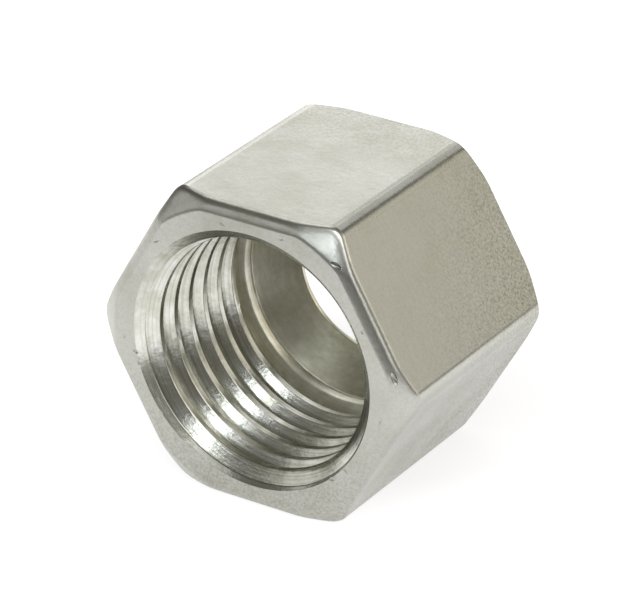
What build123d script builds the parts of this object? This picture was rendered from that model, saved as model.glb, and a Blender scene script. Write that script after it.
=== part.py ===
from build123d import *
from math import cos, radians, tan
import os

# Swivel nut: a hexagon nut, threaded from its mouth, with a run-out groove behind the
# thread and a conical seat that closes down to the bore the tube passes through.
#
# The nut lies on one of its flats. Its axis runs along Y with the threaded mouth at -Y,
# +Z points up through the top flat, and the origin is the nut's centre, on the axis.

os.makedirs("parts", exist_ok=True)

# Hexagon body
across_flats = 19.0
nut_length = 15.0
corner_radius = 1.2       # rounding of the six long corners
chamfer_angle = 35.0      # chamfer cone at both ends, measured from the end face
mouth_end_inset = 0.1     # the mouth end's cone starts this far inside the flats
tube_end_outset = 0.3     # the tube end's cone starts this far outside the flats
bevel_inset = 0.65        # bevel along the six edges of the mouth's face, across the face
bevel_depth = 0.3         # the same bevel, along the axis
mouth_softening = 0.3     # tumbled radius of the outer edges at the mouth end
tube_end_softening = 0.4  # and at the tube end

# Threaded bore
thread_major_d = 16.0
thread_pitch = 1.5
mouth_allowance = 0.2     # mouth countersink over the thread's major diameter
groove_width = 1.0        # groove that the thread runs out into
groove_allowance = 0.3    # groove over the thread's major diameter
land_length = 0.75        # plain land between the groove and the seat

# Seat and tube bore
seat_angle = 90.0         # included angle of the seat that presses on the ring
tube_bore_d = 10.1        # clears a tube of 10 mm
tube_bore_length = 0.25
lead_angle = 90.0         # included angle of the countersink at the tube end
lead_depth = 1.65

# Derived sizes
flat_r = across_flats / 2
corner_r = flat_r / cos(radians(30))
chamfer_slope = tan(radians(chamfer_angle))
mouth_end_r = flat_r - mouth_end_inset
tube_end_r = flat_r + tube_end_outset
mouth_end_depth = (corner_r - mouth_end_r) * chamfer_slope
tube_end_depth = (corner_r - tube_end_r) * chamfer_slope
minor_r = thread_major_d / 2 - 0.54127 * thread_pitch
mouth_r = (thread_major_d + mouth_allowance) / 2
groove_r = (thread_major_d + groove_allowance) / 2
tube_r = tube_bore_d / 2
lead_slope = tan(radians(lead_angle / 2))

# Depths of the bore's steps from the mouth's face, worked out from the tube end inwards
lead_start = nut_length - lead_depth
seat_end = lead_start - tube_bore_length
seat_start = seat_end - (minor_r - tube_r) / tan(radians(seat_angle / 2))
groove_end = seat_start - land_length
groove_start = groove_end - groove_width


def turned(profile):
    """Solid turned about Y from corners given as (radius, depth from the mouth's face)."""
    corners = [(radius, depth - nut_length / 2) for radius, depth in profile]
    return revolve(make_face(Polyline(*corners, close=True)), Axis.Y)


# Hexagon bar with rounded corners, bevelled along the edges of the mouth's face
section = Plane.XZ * RegularPolygon(flat_r, 6, major_radius=False)
bar = extrude(section, nut_length / 2, both=True)
bar = fillet(bar.edges().filter_by(Axis.Y), corner_radius)
mouth_face = bar.faces().sort_by(Axis.Y)[0]
bar = chamfer(mouth_face.edges(), bevel_inset, bevel_depth, reference=mouth_face)

# A cone turned on both ends, then the outer edges of each end tumbled soft
ends = turned([
    (0, 0),
    (mouth_end_r, 0),
    (corner_r, mouth_end_depth),
    (corner_r, nut_length - tube_end_depth),
    (tube_end_r, nut_length),
    (0, nut_length),
])
body = bar & ends
mouth_edges = body.edges().filter_by_position(Axis.Y, -nut_length / 2, -nut_length / 4)
body = fillet(mouth_edges, mouth_softening)
tube_end_edges = body.edges().filter_by_position(Axis.Y, nut_length / 4, nut_length / 2)
body = fillet(tube_end_edges, tube_end_softening)

# Countersunk mouth, thread core, run-out groove, land, seat, tube bore and lead-in, cut
# with one tool that stands one millimetre proud of both ends
over = 1.0
bore = turned([
    (0, -over),
    (mouth_r + over, -over),
    (minor_r, mouth_r - minor_r),
    (minor_r, groove_start),
    (groove_r, groove_start),
    (groove_r, groove_end),
    (minor_r, groove_end),
    (minor_r, seat_start),
    (tube_r, seat_end),
    (tube_r, lead_start),
    (tube_r + (nut_length + over - lead_start) * lead_slope, nut_length + over),
    (0, nut_length + over),
])
nut = body - bore

nut.label = "swivel_nut"
export_step(nut, "parts/swivel_nut.step")
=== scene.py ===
from itertools import combinations
from math import atan2, cos, hypot, pi, radians, sin, tan

import bmesh
import bpy
from mathutils import Matrix, Vector


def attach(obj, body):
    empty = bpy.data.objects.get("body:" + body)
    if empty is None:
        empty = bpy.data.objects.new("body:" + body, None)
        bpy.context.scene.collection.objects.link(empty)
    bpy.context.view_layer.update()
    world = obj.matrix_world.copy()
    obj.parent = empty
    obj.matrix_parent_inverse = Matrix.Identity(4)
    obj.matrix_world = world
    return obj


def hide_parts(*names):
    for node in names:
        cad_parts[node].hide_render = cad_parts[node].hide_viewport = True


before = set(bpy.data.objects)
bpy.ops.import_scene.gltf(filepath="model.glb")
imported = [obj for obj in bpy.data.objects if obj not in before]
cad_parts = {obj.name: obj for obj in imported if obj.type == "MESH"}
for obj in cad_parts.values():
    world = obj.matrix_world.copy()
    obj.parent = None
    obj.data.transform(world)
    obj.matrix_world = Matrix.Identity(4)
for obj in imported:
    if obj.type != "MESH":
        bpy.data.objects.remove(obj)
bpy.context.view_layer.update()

# ----- Hexagon body -------------------------------------------------------------------
# The body is a length of drawn stainless hexagon bar, 19 mm across its flats. The mouth's
# rim is milled to a low bevel, and a cone is turned on both ends, which leaves curved arcs
# on the flats. The nuts are then tumbled and pickled: soft edges and a fine satin grain.
mm = 0.001
across_flats = 19.0 * mm
nut_length = 15.0 * mm
corner_radius = 1.21 * mm
corner_steps = 14
flat_steps = 40
rim_bevel_inset = 0.65 * mm
rim_bevel_depth = 0.3 * mm
cone_angle = radians(35)
mouth_cone_radius = 9.5 * mm
tube_cone_radius = 9.8 * mm
mouth_softening = 0.55 * mm
tube_end_softening = 0.2 * mm
softening_step = radians(12)
rim_reach = 3 * mm
rim_smoothing_passes = 10
sharp_angle = radians(30)
merge_distance = 0.002 * mm
hair = 1e-6
half_side = (across_flats / 2 - corner_radius) * tan(pi / 6)
corner_centre = half_side / sin(pi / 6)


def bar_outline(angle, inset):
    """Radius of the bar's rounded hexagon at an angle round the axis, drawn in by the inset."""
    from_corner = abs((angle + pi / 6) % (pi / 3) - pi / 6)
    from_flat = pi / 6 - from_corner
    apothem = across_flats / 2 - inset
    if apothem * tan(from_flat) < half_side:
        return apothem / cos(from_flat)
    aside = corner_centre * sin(from_corner)
    return corner_centre * cos(from_corner) + ((corner_radius - inset) ** 2 - aside ** 2) ** 0.5


def bar_angles():
    """Angles round the axis, close together on the six rounded corners."""
    angles = []
    for corner in range(6):
        for step in range(corner_steps + 1):
            facing = (2 * step / corner_steps - 1) * pi / 6
            aside, outward = corner_radius * sin(facing), corner_centre + corner_radius * cos(facing)
            angles.append(corner * pi / 3 + atan2(aside, outward))
        flat_start = angles[-1]
        flat_turn = 2 * (corner * pi / 3 + pi / 6 - flat_start)
        angles += [flat_start + flat_turn * step / flat_steps for step in range(1, flat_steps)]
    return angles


def sharp_sides(angle):
    """Sides of the body's lengthwise section at an angle, each (way it faces, reach)."""
    rim, side = bar_outline(angle, rim_bevel_inset), bar_outline(angle, 0)
    rim_angle = atan2(rim_bevel_depth, side - rim)
    return [
        (0, 0),
        (rim_angle, rim * sin(rim_angle)),
        (cone_angle, mouth_cone_radius * sin(cone_angle)),
        (pi / 2, side),
        (pi - cone_angle, tube_cone_radius * sin(cone_angle) + nut_length * cos(cone_angle)),
        (pi, nut_length),
    ]


def meeting_points(sides):
    """Corners (radius, depth) where two sides meet and no other side cuts them off."""
    corners = []
    for (way, reach), (other_way, other_reach) in combinations(sides, 2):
        turn = sin(other_way - way)
        if turn > hair:
            radius = (other_reach * cos(way) - reach * cos(other_way)) / turn
            depth = (other_reach * sin(way) - reach * sin(other_way)) / turn
            if all(radius * sin(w) - depth * cos(w) < r + hair * mm for w, r in sides):
                corners.append((radius, depth))
    return corners


def tumble(sides, softening, first, last):
    """Points (radius, depth) from the first side to the last, with the corners between rounded."""
    sides = [(way, reach - softening) for way, reach in sides]
    corners = meeting_points(sides)
    nudge = 1e-4
    points = []
    for (way, _), (next_way, _) in zip(sides[first:last], sides[first + 1:last + 1]):
        steps = 2 + round((next_way - way) / softening_step)
        for step in range(steps + 1):
            facing = way + nudge + (next_way - way - 2 * nudge) * step / steps
            radius, depth = max(corners, key=lambda c: c[0] * sin(facing) - c[1] * cos(facing))
            points.append((radius + softening * sin(facing), depth - softening * cos(facing)))
    return points


body = bmesh.new()
rows = []
for angle in bar_angles():
    sides = sharp_sides(angle)
    section = tumble(sides, mouth_softening, 0, 3) + tumble(sides, tube_end_softening, 3, 5)
    rows.append([
        body.verts.new((radius * cos(angle), depth - nut_length / 2, radius * sin(angle)))
        for radius, depth in section])
for row, next_row in zip(rows, rows[1:] + rows[:1]):
    for i in range(len(row) - 1):
        body.faces.new((row[i], next_row[i], next_row[i + 1], row[i + 1]))
body.faces.new([row[0] for row in rows])
body.faces.new([row[-1] for row in rows])
bmesh.ops.remove_doubles(body, verts=body.verts, dist=merge_distance)
bmesh.ops.recalc_face_normals(body, faces=body.faces)
nut = bpy.data.objects.new("hexagon_nut", bpy.data.meshes.new("hexagon_nut"))
bpy.context.scene.collection.objects.link(nut)
body.to_mesh(nut.data)
body.free()


def choose(piece):
    """Makes the piece the only selected and active object."""
    bpy.ops.object.select_all(action="DESELECT")
    bpy.context.view_layer.objects.active = piece
    piece.select_set(True)


def pick(piece, kind, wanted):
    """In edit mode, selects the piece's verts, edges or faces that wanted() says yes to."""
    bpy.ops.mesh.select_mode(type=kind)
    bpy.ops.mesh.select_all(action="DESELECT")
    mesh = bmesh.from_edit_mesh(piece.data)
    for element in {"VERT": mesh.verts, "EDGE": mesh.edges, "FACE": mesh.faces}[kind]:
        if wanted(element):
            element.select_set(True)
    bmesh.update_edit_mesh(piece.data)


def is_rim(vertex):
    """True for a point on the rounded rim of either end, between its face and the bar's sides."""
    x, y, z = vertex.co
    below_bar = hypot(x, z) < bar_outline(atan2(z, x), 0) - hair
    return below_bar and nut_length / 2 - rim_reach < abs(y) < nut_length / 2 - hair


choose(nut)
bpy.ops.object.mode_set(mode="EDIT")
pick(nut, "VERT", is_rim)
bpy.ops.mesh.vertices_smooth(factor=0.5, repeat=rim_smoothing_passes)
bpy.ops.object.mode_set(mode="OBJECT")


def add_node(material, kind, values=(), **settings):
    """A shader node with its settings, and its sockets linked or set from values."""
    tree = material.node_tree
    node = tree.nodes.new(kind)
    for name, value in settings.items():
        setattr(node, name, value)
    for socket, value in dict(values).items():
        if isinstance(value, bpy.types.NodeSocket):
            tree.links.new(value, node.inputs[socket])
        else:
            node.inputs[socket].default_value = value
    return node


def noise(material, place, scale, detail, roughness):
    """A noise pattern on the piece, from 0 to 1, with its scale in lumps to a metre."""
    return add_node(material, "ShaderNodeTexNoise", {
        "Vector": place, "Scale": scale, "Detail": detail, "Roughness": roughness}).outputs["Fac"]


def colour_ramp(material, factor, *stops):
    """Colour from (position, red, green, blue) stops, driven by the factor."""
    ramp = add_node(material, "ShaderNodeValToRGB", {"Fac": factor})
    elements = ramp.color_ramp.elements
    for position, _, _, _ in stops[1:-1]:
        elements.new(position)
    for element, (position, red, green, blue) in zip(elements, stops):
        element.position = position
        element.color = (red, green, blue, 1)
    return ramp.outputs["Color"]


def multiply(material, amount, colour, tint):
    """The colour multiplied by the tint, by an amount from 0 to 1."""
    mix = add_node(
        material, "ShaderNodeMix", {0: amount, 6: colour, 7: tint}, data_type="RGBA", blend_type="MULTIPLY")
    return mix.outputs[2]


def remap(material, value, start, end, to_start, to_end, **settings):
    """The value, moved from the range start to end into the range to_start to to_end."""
    return add_node(material, "ShaderNodeMapRange", {
        "Value": value, "From Min": start, "From Max": end,
        "To Min": to_start, "To Max": to_end}, **settings).outputs["Result"]


def bare_metal(name):
    """A new bare metal, its shader, and the place on the piece that its patterns read."""
    metal = bpy.data.materials.new(name)
    metal.use_nodes = True
    shader = metal.node_tree.nodes["Principled BSDF"]
    shader.inputs["Metallic"].default_value = 1
    place = add_node(metal, "ShaderNodeTexCoord").outputs["Object"]
    return metal, shader, place


def tumbled_finish(name, dull, bright, scuffed):
    """Pickled and tumbled steel: stains, fine grain, and scuffs that deepen down and backwards."""
    steel, shader, place = bare_metal(name)
    links = steel.node_tree.links
    grain = noise(steel, place, scale=6500, detail=2, roughness=0.6)
    dimples = noise(steel, place, scale=2400, detail=1, roughness=0.5)
    staining = noise(steel, place, scale=260, detail=5, roughness=0.62)
    stain = colour_ramp(
        steel, staining,
        (0.3, 0.385, 0.385, 0.335), (0.5, 0.418, 0.422, 0.382), (0.7, 0.44, 0.443, 0.41))
    specks = colour_ramp(
        steel, grain,
        (0.34, 0.5, 0.49, 0.5), (0.45, 0.84, 0.81, 0.74), (0.53, 0.97, 0.97, 0.97), (0.64, 1.2, 1.2, 1.16))
    downwards = -0.8
    least_scuffed, most_scuffed = -6 * mm, 9 * mm
    along = add_node(steel, "ShaderNodeSeparateXYZ", {"Vector": place}).outputs
    lower_back = add_node(steel, "ShaderNodeMath", {
        0: along["Z"], 1: downwards, 2: along["Y"]}, operation="MULTIPLY_ADD").outputs["Value"]
    scuffing = remap(steel, lower_back, least_scuffed, most_scuffed, 0.15 * scuffed, scuffed)
    links.new(multiply(steel, scuffing, stain, specks), shader.inputs["Base Color"])
    links.new(remap(steel, staining, 0.3, 0.7, dull, bright), shader.inputs["Roughness"])
    surface = add_node(steel, "ShaderNodeBump", {
        "Height": dimples, "Distance": 0.012 * mm, "Strength": scuffed})
    links.new(surface.outputs["Normal"], shader.inputs["Normal"])
    return steel


tumbled_steel = tumbled_finish("tumbled_steel", dull=0.37, bright=0.29, scuffed=1)
rubbed_steel = tumbled_finish("rubbed_steel", dull=0.26, bright=0.2, scuffed=0.5)
nut.data.materials.append(tumbled_steel)
nut.data.materials.append(rubbed_steel)
flat_ways = (pi / 6, pi / 2, -pi / 6)
flat_match = 0.9999
side_tilt = 0.05
for face in nut.data.polygons:
    x, y, z = face.normal
    is_flat = any(abs(x * cos(way) + z * sin(way)) > flat_match for way in flat_ways)
    if abs(y) < side_tilt and not is_flat:
        face.material_index = 1

# ----- Nicks --------------------------------------------------------------------------
# The nuts knock together in the bin, which leaves small nicks in the mouth's face, in the
# rim of the countersink and in the rounded outer edges.
nick_shape = (2.0, 0.6, 0.9)
nick_turn = radians(47)
nicks = [
    # degrees round from the right corner, radius, depth of the nick's bed, size
    (312.5, 8.12, 0.05, 0.18), (321.4, 8.25, 0.03, 0.12), (139.2, 9.21, 0.05, 0.2), (136.3, 8.77, 0.04, 0.16),
    (191.3, 8.1, 0.06, 0.14), (196.6, 8.1, 0.06, 0.12), (220.2, 8.23, 0.04, 0.2), (230.7, 8.4, 0.03, 0.16),
    (53.0, 9.58, 0.24, 0.2), (9.2, 9.75, 0.32, 0.22), (184.9, 8.82, 0.03, 0.12), (75.0, 8.7, 0.03, 0.1),
    (102.0, 8.5, 0.03, 0.14), (28.0, 8.6, 0.03, 0.1), (352.0, 8.9, 0.03, 0.12), (262.0, 8.8, 0.03, 0.13),
]


def cut(piece, cutter):
    """Cuts the cutter's shape and finish into the piece, and removes the cutter."""
    choose(piece)
    cutting = piece.modifiers.new("cutting", "BOOLEAN")
    cutting.operation = "DIFFERENCE"
    cutting.solver = "EXACT"
    cutting.material_mode = "TRANSFER"
    cutting.object = cutter
    bpy.ops.object.modifier_apply(modifier=cutting.name)
    bpy.data.objects.remove(cutter)


for number, (degrees, radius, bed, size) in enumerate(nicks):
    way = radians(degrees)
    radius, depth, size = radius * mm, (bed - nick_shape[1] * size) * mm, size * mm
    bpy.ops.object.select_all(action="DESELECT")
    bpy.ops.mesh.primitive_ico_sphere_add(
        subdivisions=3, radius=size, rotation=(0, number * nick_turn, 0),
        location=(radius * cos(way), depth - nut_length / 2, radius * sin(way)))
    nick = bpy.context.object
    nick.scale = nick_shape
    bpy.ops.object.transform_apply(location=True, rotation=True, scale=True)
    nick.data.materials.append(tumbled_steel)
    cut(nut, nick)

# ----- Bore ---------------------------------------------------------------------------
# The bore is turned from both ends: a countersunk mouth, the core that the thread is cut
# in, the groove the thread runs out into, a short land and the cone that presses on the
# cutting ring. A countersink opens the tube hole at the back. The corners are broken.
thread_core = 7.188 * mm
mouth_radius = 8.1 * mm
groove_radius = 8.15 * mm
groove_width = 1.0 * mm
land_length = 0.75 * mm
relief_width = 0.16 * mm
relief_depth = 0.12 * mm
tube_radius = 5.05 * mm
tube_bore_length = 0.25 * mm
lead_depth = 1.65 * mm
broken_corner = 0.04 * mm
past_corner = 0.1 * mm
overhang = 0.5 * mm
turning_steps = 160
lead_start = nut_length - lead_depth
seat_end = lead_start - tube_bore_length
seat_start = seat_end - (thread_core - tube_radius)
groove_end = seat_start - land_length
groove_start = groove_end - groove_width


def turned_finish(name, dull, bright, oily, clean, marked):
    """Steel off the lathe: feed marks round the axis, ripples from chatter, and smears of oil."""
    steel, shader, place = bare_metal(name)
    links = steel.node_tree.links
    smears = noise(steel, place, scale=700, detail=5, roughness=0.7)
    oiled = colour_ramp(steel, smears, (0.3, *oily), (0.65, *clean))
    links.new(remap(steel, smears, 0.3, 0.7, dull, bright), shader.inputs["Roughness"])
    off_axis = add_node(steel, "ShaderNodeVectorMath", {0: place, 1: (1, 0, 1)}, operation="MULTIPLY")
    radius = add_node(steel, "ShaderNodeVectorMath", {0: off_axis.outputs[0]}, operation="LENGTH")
    depth = add_node(steel, "ShaderNodeSeparateXYZ", {"Vector": place}).outputs["Y"]
    outwards = 2.0
    feed = add_node(steel, "ShaderNodeMath", {
        0: radius.outputs["Value"], 1: outwards, 2: depth}, operation="MULTIPLY_ADD").outputs["Value"]
    feed_lines = add_node(steel, "ShaderNodeTexNoise", {
        "W": feed, "Scale": 4500, "Detail": 1, "Roughness": 0.5}, noise_dimensions="1D").outputs["Fac"]
    marks = colour_ramp(
        steel, feed_lines,
        (0.35, 0.86, 0.85, 0.82), (0.5, 0.98, 0.98, 0.97), (0.65, 1.04, 1.04, 1.05))
    links.new(multiply(steel, marked, oiled, marks), shader.inputs["Base Color"])
    ripples = noise(steel, place, scale=1800, detail=2, roughness=0.6)
    chatter = add_node(steel, "ShaderNodeBump", {
        "Height": ripples, "Distance": 0.016 * mm, "Strength": 1})
    scratches = add_node(steel, "ShaderNodeBump", {
        "Height": feed_lines, "Distance": 0.002 * mm, "Strength": 1, "Normal": chatter.outputs["Normal"]})
    links.new(scratches.outputs["Normal"], shader.inputs["Normal"])
    return steel


def turn(name, stations):
    """A round cutter on the axis, extruded ring by ring through (radius, depth behind the mouth)."""
    bpy.ops.object.select_all(action="DESELECT")
    radius, depth = stations[0]
    bpy.ops.mesh.primitive_circle_add(
        vertices=turning_steps, radius=radius, fill_type="NGON",
        location=(0, depth - nut_length / 2, 0), rotation=(pi / 2, 0, 0))
    cutter = bpy.context.object
    cutter.name = name
    bpy.ops.object.transform_apply(location=True, rotation=True, scale=True)
    bpy.ops.object.mode_set(mode="EDIT")
    bpy.ops.mesh.select_mode(type="FACE")
    bpy.ops.mesh.select_all(action="SELECT")
    for next_radius, next_depth in stations[1:]:
        bpy.ops.mesh.extrude_region_move(TRANSFORM_OT_translate={"value": (0, next_depth - depth, 0)})
        grow = next_radius / radius
        bpy.ops.transform.resize(value=(grow, 1, grow), center_override=(0, next_depth - nut_length / 2, 0))
        radius, depth = next_radius, next_depth
    bpy.ops.mesh.select_all(action="SELECT")
    bpy.ops.mesh.normals_make_consistent(inside=False)
    return cutter


def is_turned_corner(edge):
    """True for an edge that runs round a corner of the cutter inside the nut."""
    (radius, depth), (other_radius, other_depth) = (
        (hypot(v.co.x, v.co.z), v.co.y + nut_length / 2) for v in edge.verts)
    inside = past_corner < depth < lead_start + past_corner
    return inside and abs(radius - other_radius) < hair and abs(depth - other_depth) < hair


turned_steel = turned_finish(
    "turned_steel", dull=0.265, bright=0.2, oily=(0.45, 0.445, 0.37), clean=(0.63, 0.635, 0.595), marked=1)
# The groove's steel is duller than the rest of the bore. Its colour is also painted much lighter, as painted
# light that makes up for the shade in the deep groove.
grooved_steel = turned_finish(
    "grooved_steel", dull=0.5, bright=0.4, oily=(0.62, 0.6, 0.5), clean=(0.85, 0.85, 0.79), marked=0.7)
seat_steel = turned_finish(
    "seat_steel", dull=0.35, bright=0.285, oily=(0.49, 0.475, 0.36), clean=(0.67, 0.66, 0.56), marked=0.3)

bore = turn("bore", [
    (mouth_radius + overhang, -overhang),
    (mouth_radius, 0),
    (thread_core, mouth_radius - thread_core),
    (thread_core, groove_start),
    (groove_radius, groove_start),
    (groove_radius, groove_end),
    (thread_core, groove_end),
    (thread_core, seat_start - relief_width),
    (thread_core + relief_depth, seat_start - relief_width),
    (thread_core + relief_depth, seat_start),
    (thread_core, seat_start),
    (tube_radius, seat_end),
    (tube_radius, lead_start),
    (tube_radius + lead_depth, nut_length),
    (tube_radius + lead_depth + overhang, nut_length + overhang),
])
pick(bore, "EDGE", is_turned_corner)
bpy.ops.mesh.bevel(offset=broken_corner, segments=2, affect="EDGES")
bpy.ops.object.mode_set(mode="OBJECT")
bore.data.materials.append(turned_steel)
bore.data.materials.append(grooved_steel)
bore.data.materials.append(seat_steel)
for face in bore.data.polygons:
    depth = face.center.y + nut_length / 2
    if groove_start - broken_corner < depth < seat_start + broken_corner / 4:
        face.material_index = 1
    elif seat_start < depth < lead_start:
        face.material_index = 2
cut(nut, bore)

# ----- Thread -------------------------------------------------------------------------
# The thread is a right-hand M16 with a pitch of 1.5 mm, cut by a single-point tool that
# starts outside the mouth and runs out in the groove. Its crests and roots are rounded.
pitch = 1.5 * mm
thread_root = 8.0 * mm
crest_edge = 3 / 8 * pitch
root_edge = pitch / 16
tool_clearance = 0.01 * mm
tool_shank = 0.7 * mm
shank_depth = 0.3 * mm
tool_rounding = 0.05 * mm
thread_turns = 7.45
run_in = 0.995 * pitch

tool_side = [
    (thread_core - shank_depth, tool_shank),
    (thread_core - tool_clearance, tool_shank),
    (thread_core - tool_clearance, crest_edge),
    (thread_root, root_edge),
]
tool_outline = tool_side + [(radius, -aside) for radius, aside in reversed(tool_side)]
bpy.ops.object.select_all(action="DESELECT")
bpy.ops.mesh.primitive_circle_add(vertices=len(tool_outline), radius=thread_root)
thread_tool = bpy.context.object
thread_tool.name = "thread_tool"
for vertex, (radius, aside) in zip(thread_tool.data.vertices, tool_outline):
    vertex.co = (radius, aside, 0)
bpy.ops.object.mode_set(mode="EDIT")
pick(thread_tool, "VERT", lambda v: v.co.x > thread_core - 2 * tool_clearance and abs(v.co.y) <= crest_edge)
bpy.ops.mesh.bevel(offset=tool_rounding, segments=3, affect="VERTICES")
bpy.ops.mesh.select_all(action="SELECT")
bpy.ops.transform.translate(value=(0, -nut_length / 2 - run_in, 0))
bpy.ops.object.mode_set(mode="OBJECT")
helix = thread_tool.modifiers.new("helix", "SCREW")
helix.axis = "Y"
helix.angle = thread_turns * 2 * pi
helix.screw_offset = thread_turns * pitch
helix.steps = helix.render_steps = round(thread_turns * turning_steps)
bpy.ops.object.modifier_apply(modifier=helix.name)
bpy.ops.object.mode_set(mode="EDIT")
pick(thread_tool, "EDGE", lambda edge: edge.is_boundary)
bpy.ops.mesh.edge_face_add()
bpy.ops.mesh.select_all(action="SELECT")
bpy.ops.mesh.normals_make_consistent(inside=False)
bpy.ops.object.mode_set(mode="OBJECT")
thread_tool.data.materials.append(turned_steel)
cut(nut, thread_tool)

bpy.ops.object.mode_set(mode="EDIT")
bpy.ops.mesh.select_all(action="SELECT")
bpy.ops.mesh.remove_doubles(threshold=merge_distance)
bpy.ops.mesh.normals_make_consistent(inside=False)
bpy.ops.object.mode_set(mode="OBJECT")
bpy.ops.object.shade_smooth_by_angle(angle=sharp_angle)
evening = nut.modifiers.new("evening", "WEIGHTED_NORMAL")
evening.keep_sharp = True
bpy.ops.object.modifier_apply(modifier=evening.name)
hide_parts("swivel_nut")
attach(nut, "root")

# ----- Floor --------------------------------------------------------------------------
# The nut lies on a wide sheet of white paper that glows with painted light, as if lit from below. The glow
# # is painted a little dimmer round the nut than beyond it, as a painted shadow, and it fades out a short way
# # in front of the nut, as painted shade.
paper_size = 2.0
dim_centre = (0, 8 * mm, 0)
dim_radius, full_radius = 10 * mm, 34 * mm
dim_glow, full_glow = 0.74, 1.18
fade_end, fade_start = -68 * mm, -34 * mm

bpy.ops.object.select_all(action="DESELECT")
bpy.ops.mesh.primitive_plane_add(size=paper_size, location=(0, 0, -across_flats / 2))
floor = bpy.context.object
floor.name = "floor"
white_paper = bpy.data.materials.new("white_paper")
white_paper.use_nodes = True
paper_shader = white_paper.node_tree.nodes["Principled BSDF"]
paper_shader.inputs["Base Color"].default_value = (0.34, 0.335, 0.345, 1)
paper_shader.inputs["Roughness"].default_value = 0.9
paper_shader.inputs["Specular IOR Level"].default_value = 0
paper_shader.inputs["Emission Color"].default_value = (1, 1, 1, 1)
paper_place = add_node(white_paper, "ShaderNodeTexCoord").outputs["Object"]
paper_depth = add_node(white_paper, "ShaderNodeSeparateXYZ", {"Vector": paper_place}).outputs["Y"]
from_nut = add_node(
    white_paper, "ShaderNodeVectorMath", {0: paper_place, 1: dim_centre}, operation="DISTANCE")
# Painted shadow: the paper's glow is dimmer round the nut.
glow_round_nut = remap(white_paper, from_nut.outputs["Value"], dim_radius, full_radius, dim_glow, full_glow)
# Painted shade: the paper's glow fades out in front of the nut.
fade_in_front = remap(
    white_paper, paper_depth, fade_end, fade_start, 0, 1, interpolation_type="SMOOTHSTEP")
glow = add_node(white_paper, "ShaderNodeMath", {0: glow_round_nut, 1: fade_in_front}, operation="MULTIPLY")
white_paper.node_tree.links.new(glow.outputs["Value"], paper_shader.inputs["Emission Strength"])
floor.data.materials.append(white_paper)

# ----- Lights -------------------------------------------------------------------------
# Soft boxes stand round the table at one distance, in a dim warm room. Each is given by the
# way it stands from the nut and its height, both in degrees, its width, power and tint.
room_colour = (1, 0.95, 0.82, 1)
room_strength = 0.15
stand_distance = 0.6
white, warm, cool = (1, 1, 1), (1, 0.95, 0.84), (0.88, 0.94, 1)
soft_boxes = [
    # way round, height, width, power, tint
    (5, 32, 0.1, 0.3, cool),
    (45, 58, 0.28, 1.1, white),
    (350, 23, 0.12, 0.2, cool),
    (225, 58, 0.28, 0.5, white),
    (120, 36, 0.28, 0.45, warm),
    (60, 36, 0.28, 0.45, white),
    (210, 14, 0.28, 0.4, white),
    (180, 36, 0.28, 0.2, white),
    (120, 14, 0.28, 0.3, warm),
    (0, 58, 0.28, 0.15, white),
    (210, 36, 0.28, 0.2, white),
    (150, 18, 0.28, 0.2, warm),
    (300, 14, 0.28, 0.2, white),
    (64, 16, 0.2, 0.2, white),
    (328, 18, 0.16, 0.1, white),
]

world = bpy.data.worlds.new("studio")
bpy.context.scene.world = world
world.use_nodes = True
world.node_tree.nodes["Background"].inputs["Color"].default_value = room_colour
world.node_tree.nodes["Background"].inputs["Strength"].default_value = room_strength
for number, (way, height, width, power, tint) in enumerate(soft_boxes):
    soft_box = bpy.data.lights.new(f"soft_box_{number}", "AREA")
    soft_box.energy = power
    soft_box.size = width
    soft_box.color = tint
    stand = bpy.data.objects.new(f"soft_box_{number}", soft_box)
    way, height = radians(way), radians(height)
    stand.location = stand_distance * Vector((
        sin(way) * cos(height), -cos(way) * cos(height), sin(height)))
    stand.rotation_euler = stand.location.to_track_quat("Z", "Y").to_euler()
    bpy.context.scene.collection.objects.link(stand)

# ----- Camera -------------------------------------------------------------------------
# A long lens looks down on the mouth from its right. It is aimed a little to the left of
# the nut's centre and a little above it, and it is tipped a fraction of a degree.
azimuth = radians(33.0551)
elevation = radians(27.0211)
roll = radians(-0.299)
distance = 252.0 * mm
aim_right = -0.186 * mm
aim_up = 0.777 * mm

back = Vector((sin(azimuth) * cos(elevation), -cos(azimuth) * cos(elevation), sin(elevation)))
level = Vector((cos(azimuth), sin(azimuth), 0))
upright = back.cross(level)
right = cos(roll) * level + sin(roll) * upright
up = cos(roll) * upright - sin(roll) * level
lens = bpy.data.cameras.new("camera")
lens.lens = 244.12
lens.sensor_width = 36
lens.clip_start = 0.01
camera = bpy.data.objects.new("camera", lens)
turned = Matrix(((right.x, up.x, back.x), (right.y, up.y, back.y), (right.z, up.z, back.z)))
place = distance * back + aim_right * right + aim_up * up
camera.matrix_world = Matrix.Translation(place) @ turned.to_4x4()
bpy.context.scene.collection.objects.link(camera)
bpy.context.scene.camera = camera
bpy.context.scene.view_settings.view_transform = "Standard"
